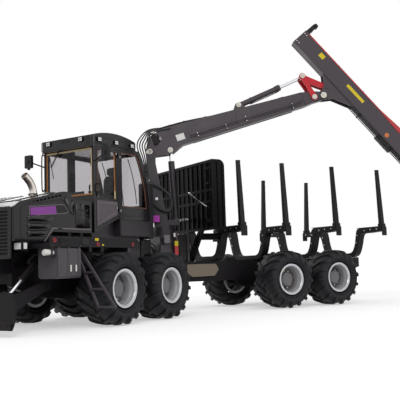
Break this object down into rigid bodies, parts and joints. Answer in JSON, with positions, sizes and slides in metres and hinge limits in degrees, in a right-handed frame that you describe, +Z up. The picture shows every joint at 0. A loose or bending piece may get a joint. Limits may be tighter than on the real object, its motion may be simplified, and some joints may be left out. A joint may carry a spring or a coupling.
{
  "type": "forestry forwarder",
  "caption": "Eight-wheel articulated log carrier with a cab, front blade, staked load bed and a slewing log crane with grapple.",
  "frame": {"origin": "centre of the whole machine's box, on the floor", "axes": "+X towards the front of the rear frame, +Y to its left, +Z up"},
  "size_m": [11.4466, 5.0613, 6.5919],
  "materials": {
    "tyre": "matte black tread rubber",
    "rim_grey": "silver grey paint",
    "frame_dark": "dark charcoal paint, satin",
    "crane_grey": "warm dark grey paint, satin",
    "gate_black": "black paint, satin",
    "link_red": "red paint",
    "body_black": "black paint, satin",
    "chrome_rod": "hard chrome",
    "exhaust_steel": "bright steel pipe",
    "engine_iron": "plain cast block",
    "grille_black": "matt black mesh",
    "glass": "clear safety glass",
    "seat_fabric": "dark woven cloth",
    "console_plastic": "dark grey plastic",
    "mirror_black": "black moulded housing",
    "lamp_lens": "clear lamp lens over a bright reflector"
  },
  "bodies": {
    "rear_body": {"rear_frame": "frame_dark", "rear_bogies": "frame_dark", "bunks": "frame_dark", "stakes": "frame_dark", "headboard": "gate_black", "crane_base": "frame_dark"},
    "front_body": {"front_frame": "frame_dark", "front_bogies": "frame_dark", "cab_shell": "body_black", "cab_glass": "glass", "cab_roof": "body_black", "cab_base": "frame_dark", "seat": "seat_fabric", "console": "console_plastic", "hood": "body_black", "engine_block": "engine_iron", "grille": "grille_black", "exhaust": "exhaust_steel", "walkways": "body_black", "side_tanks": "body_black", "ladder": "body_black", "roof_lamps": "lamp_lens", "mirrors": "mirror_black", "front_lamps": "lamp_lens"},
    "wheel_front_left_fore": {"tyre_front_left_fore": "tyre", "rim_front_left_fore": "rim_grey"},
    "wheel_front_left_aft": {"tyre_front_left_aft": "tyre", "rim_front_left_aft": "rim_grey"},
    "wheel_front_right_fore": {"tyre_front_right_fore": "tyre", "rim_front_right_fore": "rim_grey"},
    "wheel_front_right_aft": {"tyre_front_right_aft": "tyre", "rim_front_right_aft": "rim_grey"},
    "wheel_rear_left_fore": {"tyre_rear_left_fore": "tyre", "rim_rear_left_fore": "rim_grey"},
    "wheel_rear_left_aft": {"tyre_rear_left_aft": "tyre", "rim_rear_left_aft": "rim_grey"},
    "wheel_rear_right_fore": {"tyre_rear_right_fore": "tyre", "rim_rear_right_fore": "rim_grey"},
    "wheel_rear_right_aft": {"tyre_rear_right_aft": "tyre", "rim_rear_right_aft": "rim_grey"},
    "door": {"cab_door": "body_black", "door_glass": "glass"},
    "blade": {"blade": "body_black"},
    "blade_barrels": {"blade_barrels": "body_black"},
    "blade_rods": {"blade_rods": "chrome_rod"},
    "column": {"crane_column": "crane_grey"},
    "boom": {"crane_boom": "crane_grey"},
    "lift_barrel": {"lift_barrel": "crane_grey"},
    "lift_rod": {"lift_rod": "chrome_rod"},
    "outer_boom": {"outer_boom": "crane_grey"},
    "jib_barrel": {"jib_barrel": "crane_grey"},
    "jib_rod": {"jib_rod": "chrome_rod"},
    "rocker": {"jib_rocker": "link_red"},
    "pull_link": {"pull_link": "link_red"},
    "extension": {"extension": "crane_grey"},
    "tip_link": {"tip_link": "crane_grey"},
    "grapple": {"rotator": "crane_grey"},
    "claw_outer": {"claw_outer": "crane_grey"},
    "claw_inner": {"claw_inner": "crane_grey"}
  },
  "joints": [
    {"name": "steer", "type": "hinge", "parent": "rear_body", "child": "front_body", "pos_m": [0.79573, -1.00067, 0.925], "axis": [0, 0, 1], "range_deg": [-69, 18]},
    {"name": "spin_front_left_fore", "type": "hinge", "parent": "front_body", "child": "wheel_front_left_fore", "pos_m": [2.67875, 1.16052, 0.675], "axis": [-0.4305, 0.9026, 0], "continuous": true},
    {"name": "spin_front_left_aft", "type": "hinge", "parent": "front_body", "child": "wheel_front_left_aft", "pos_m": [1.31223, 0.50873, 0.675], "axis": [-0.4305, 0.9026, 0], "continuous": true},
    {"name": "spin_front_right_fore", "type": "hinge", "parent": "front_body", "child": "wheel_front_right_fore", "pos_m": [3.66031, -0.89737, 0.675], "axis": [-0.4305, 0.9026, 0], "continuous": true},
    {"name": "spin_front_right_aft", "type": "hinge", "parent": "front_body", "child": "wheel_front_right_aft", "pos_m": [2.2938, -1.54916, 0.675], "axis": [-0.4305, 0.9026, 0], "continuous": true},
    {"name": "spin_rear_left_fore", "type": "hinge", "parent": "rear_body", "child": "wheel_rear_left_fore", "pos_m": [-2.24127, 0.13933, 0.675], "axis": [0, 1, 0], "continuous": true},
    {"name": "spin_rear_left_aft", "type": "hinge", "parent": "rear_body", "child": "wheel_rear_left_aft", "pos_m": [-3.75527, 0.13933, 0.675], "axis": [0, 1, 0], "continuous": true},
    {"name": "spin_rear_right_fore", "type": "hinge", "parent": "rear_body", "child": "wheel_rear_right_fore", "pos_m": [-2.24127, -2.14067, 0.675], "axis": [0, 1, 0], "continuous": true},
    {"name": "spin_rear_right_aft", "type": "hinge", "parent": "rear_body", "child": "wheel_rear_right_aft", "pos_m": [-3.75527, -2.14067, 0.675], "axis": [0, 1, 0], "continuous": true},
    {"name": "door_swing", "type": "hinge", "parent": "front_body", "child": "door", "pos_m": [2.14663, 0.39929, 2.5], "axis": [0, 0, 1], "range_deg": [0, 75]},
    {"name": "blade_lift", "type": "hinge", "parent": "front_body", "child": "blade", "pos_m": [4.30679, 0.67402, 0.775], "axis": [0.4305, -0.9026, 0], "range_deg": [-5.5, 20]},
    {"name": "blade_barrel_turn", "type": "hinge", "parent": "front_body", "child": "blade_barrels", "pos_m": [4.36275, 0.70071, 1.27], "axis": [0.4305, -0.9026, 0], "range_deg": [-4.62, 15.49]},
    {"name": "blade_rod_slide", "type": "slide", "parent": "blade_barrels", "child": "blade_rods", "axis": [0.6763, 0.3226, -0.6623], "range_m": [-0.15418, 0.04385]},
    {"name": "slew", "type": "hinge", "parent": "rear_body", "child": "column", "pos_m": [0.34573, -1.00067, 1.9], "axis": [0, 0, 1], "range_deg": [-250, 130]},
    {"name": "boom_lift", "type": "hinge", "parent": "column", "child": "boom", "pos_m": [0.57869, -1.13517, 3.732], "axis": [-0.5, -0.866, 0], "range_deg": [-45, 14]},
    {"name": "lift_barrel_turn", "type": "hinge", "parent": "column", "child": "lift_barrel", "pos_m": [0.08592, -0.85067, 2.085], "axis": [0.5, 0.866, 0], "range_deg": [-1.45, 3.56]},
    {"name": "lift_rod_slide", "type": "slide", "parent": "lift_barrel", "child": "lift_rod", "axis": [0.0484, -0.0279, 0.9984], "range_m": [-0.11199, 0.35555]},
    {"name": "elbow", "type": "hinge", "parent": "boom", "child": "outer_boom", "pos_m": [-3.00842, 0.93585, 4.99045], "axis": [0.5, 0.866, 0], "range_deg": [-24, 56]},
    {"name": "jib_barrel_turn", "type": "hinge", "parent": "boom", "child": "jib_barrel", "pos_m": [-1.25333, -0.07745, 4.80845], "axis": [0.5, 0.866, 0], "range_deg": [-6.21, 2.95]},
    {"name": "jib_rod_slide", "type": "slide", "parent": "jib_barrel", "child": "jib_rod", "axis": [-0.7964, 0.4598, 0.3929], "range_m": [-0.37282, 0.16092]},
    {"name": "rocker_turn", "type": "hinge", "parent": "boom", "child": "rocker", "pos_m": [-2.81858, 0.82625, 4.9552], "axis": [0.5, 0.866, 0], "range_deg": [-17.77, 40.8]},
    {"name": "pull_link_turn", "type": "hinge", "parent": "outer_boom", "child": "pull_link", "pos_m": [-3.10108, 0.98935, 5.19624], "axis": [0.5, 0.866, 0], "range_deg": [-29.15, 12.78]},
    {"name": "extend", "type": "slide", "parent": "outer_boom", "child": "extension", "axis": [-0.5624, 0.3247, -0.7604], "range_m": [0, 2]},
    {"name": "tip_swing", "type": "hinge", "parent": "extension", "child": "tip_link", "pos_m": [-5.29465, 2.25581, 2.7002], "axis": [-0.5, -0.866, 0], "range_deg": [-50, 70]},
    {"name": "rotate", "type": "hinge", "parent": "tip_link", "child": "grapple", "pos_m": [-5.29465, 2.25581, 2.3699], "axis": [0, 0, 1], "continuous": true},
    {"name": "claw_open", "type": "hinge", "parent": "grapple", "child": "claw_outer", "pos_m": [-5.45919, 2.35081, 1.9899], "axis": [0.5, 0.866, 0], "range_deg": [0, 48]},
    {"name": "claw_follow", "type": "hinge", "parent": "grapple", "child": "claw_inner", "pos_m": [-5.1301, 2.16081, 1.9899], "axis": [-0.5, -0.866, 0], "range_deg": [-0.5, 48.5]}
  ],
  "couplings": [
    {"joint": "blade_barrel_turn", "follows": "blade_lift", "ratio": 0.74966},
    {"joint": "blade_rod_slide", "follows": "blade_lift", "m_per_rad": -0.43596},
    {"joint": "lift_barrel_turn", "follows": "boom_lift", "ratio": -0.067887},
    {"joint": "lift_rod_slide", "follows": "boom_lift", "m_per_rad": -0.45016},
    {"joint": "jib_barrel_turn", "follows": "elbow", "ratio": -0.102},
    {"joint": "jib_rod_slide", "follows": "elbow", "m_per_rad": -0.3794},
    {"joint": "rocker_turn", "follows": "elbow", "ratio": 0.71957},
    {"joint": "pull_link_turn", "follows": "elbow", "ratio": -0.51162},
    {"joint": "claw_follow", "follows": "claw_open", "ratio": 1}
  ]
}
